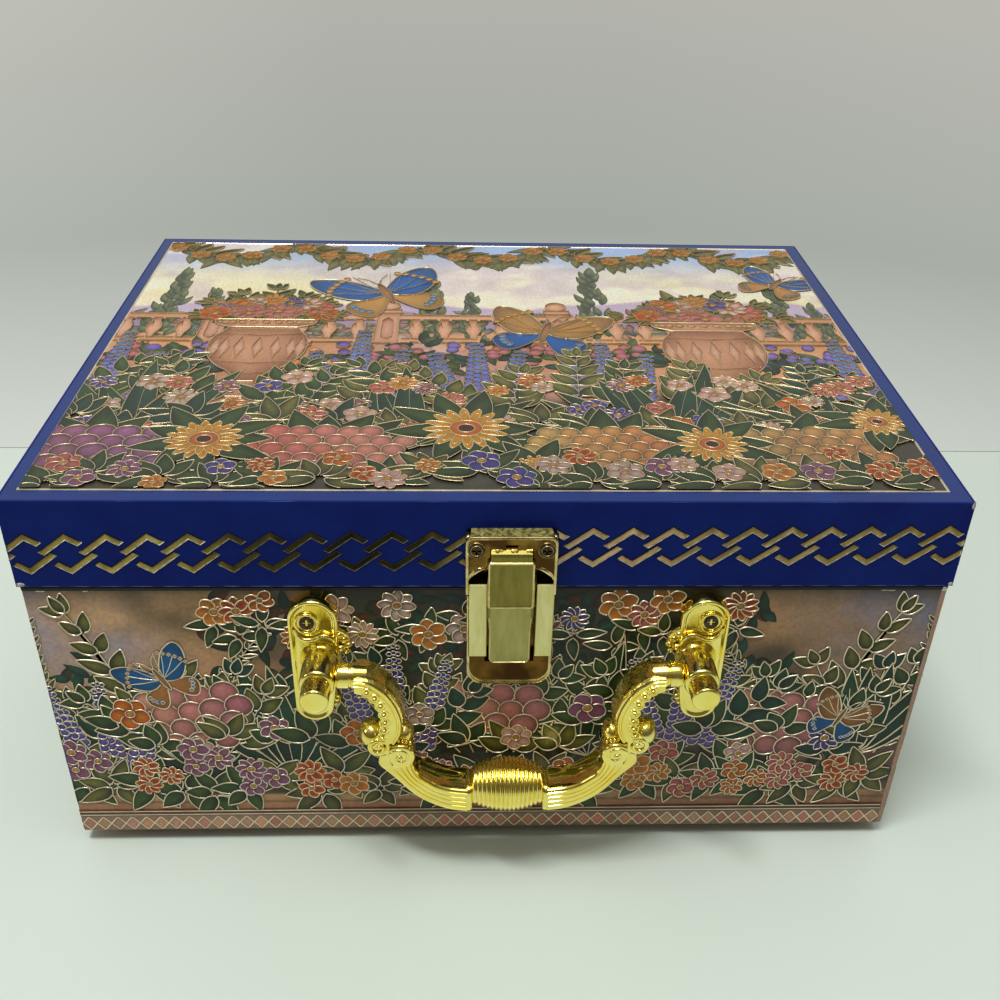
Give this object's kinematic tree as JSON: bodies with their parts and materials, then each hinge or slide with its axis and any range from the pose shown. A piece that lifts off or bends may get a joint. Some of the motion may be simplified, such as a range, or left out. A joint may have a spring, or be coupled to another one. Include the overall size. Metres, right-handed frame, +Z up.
{
  "type": "hinged gift box for jars",
  "caption": "Hinged wooden gift box wrapped in printed paper, with jar dividers, a brass toggle latch and a swinging ornate gold carry handle.",
  "frame": {"origin": "middle of the outline of the whole closed part seen from above, hardware included, on the plane that the feet stand on", "axes": "+Z up, +X to the right seen from the front, the latch and the handle face -Y"},
  "size_m": [0.285, 0.2548, 0.141],
  "materials": {
    "board": "raw fibreboard, matt",
    "printed_paper": "glossy printed paper with raised gold foil lines",
    "blue_paper": "satin royal blue wrap",
    "plain_paper": "matt dark paper",
    "lining_paper": "matt gold paper",
    "divider_board": "matt covered card",
    "foot_plastic": "matt black",
    "latch_brass": "polished antique gold plating",
    "handle_gold": "bright gold plating on a zinc casting",
    "hinge_brass": "satin",
    "screw_steel": "zinc plated"
  },
  "bodies": {
    "case": {"back_left_foot": "foot_plastic", "back_right_foot": "foot_plastic", "case_back_panel": "board", "case_bottom_panel": "board", "case_floor_lining": "lining_paper", "case_front_panel": "board", "case_left_panel": "board", "case_print_wrap": "printed_paper", "case_right_panel": "board", "case_wall_lining": "lining_paper", "foot_screws": "screw_steel", "front_left_foot": "foot_plastic", "front_right_foot": "foot_plastic", "handle_bolts": "screw_steel", "handle_left_post": "handle_gold", "handle_pivot_pins": "handle_gold", "handle_right_post": "handle_gold", "handle_screws": "handle_gold", "hinge_case_screws": "hinge_brass", "jar_divider_left": "divider_board", "jar_divider_long": "divider_board", "jar_divider_right": "divider_board", "latch_base_plate": "latch_brass", "latch_base_screws": "latch_brass", "latch_lever_pins": "latch_brass", "left_hinge_case_leaf": "hinge_brass", "left_hinge_pin": "hinge_brass", "right_hinge_case_leaf": "hinge_brass", "right_hinge_pin": "hinge_brass", "underside_paper": "plain_paper"},
    "lid": {"hinge_lid_screws": "hinge_brass", "latch_lid_plate": "latch_brass", "latch_lid_screws": "latch_brass", "left_hinge_lid_leaf": "hinge_brass", "lid_back_rail": "board", "lid_front_rail": "board", "lid_left_rail": "board", "lid_print_panel": "printed_paper", "lid_right_rail": "board", "lid_top_lining": "lining_paper", "lid_top_panel": "board", "lid_wall_lining": "lining_paper", "lid_wrap": "blue_paper", "right_hinge_lid_leaf": "hinge_brass"},
    "latch_lever": {"latch_lever": "latch_brass"},
    "latch_hook": {"latch_hook": "latch_brass", "latch_hook_pin": "latch_brass"},
    "bail": {"handle_bail": "handle_gold"}
  },
  "joints": [
    {"name": "lid_hinge", "type": "hinge", "parent": "case", "child": "lid", "pos_m": [0, 0.12374, 0.11065], "axis": [-1, 0, 0], "range_deg": [0, 100]},
    {"name": "latch_lever_pivot", "type": "hinge", "parent": "case", "child": "latch_lever", "pos_m": [0.0054, -0.10615, 0.106], "axis": [-1, 0, 0], "range_deg": [0, 110]},
    {"name": "latch_hook_pivot", "type": "hinge", "parent": "latch_lever", "child": "latch_hook", "pos_m": [0.0054, -0.10536, 0.101], "axis": [-1, 0, 0], "range_deg": [-110, 0]},
    {"name": "bail_pivot", "type": "hinge", "parent": "case", "child": "bail", "pos_m": [0.0056, -0.11475, 0.0853], "axis": [-1, 0, 0], "range_deg": [-3, 160]}
  ],
  "couplings": [
    {"joint": "latch_hook_pivot", "follows": "latch_lever_pivot", "ratio": -1}
  ]
}
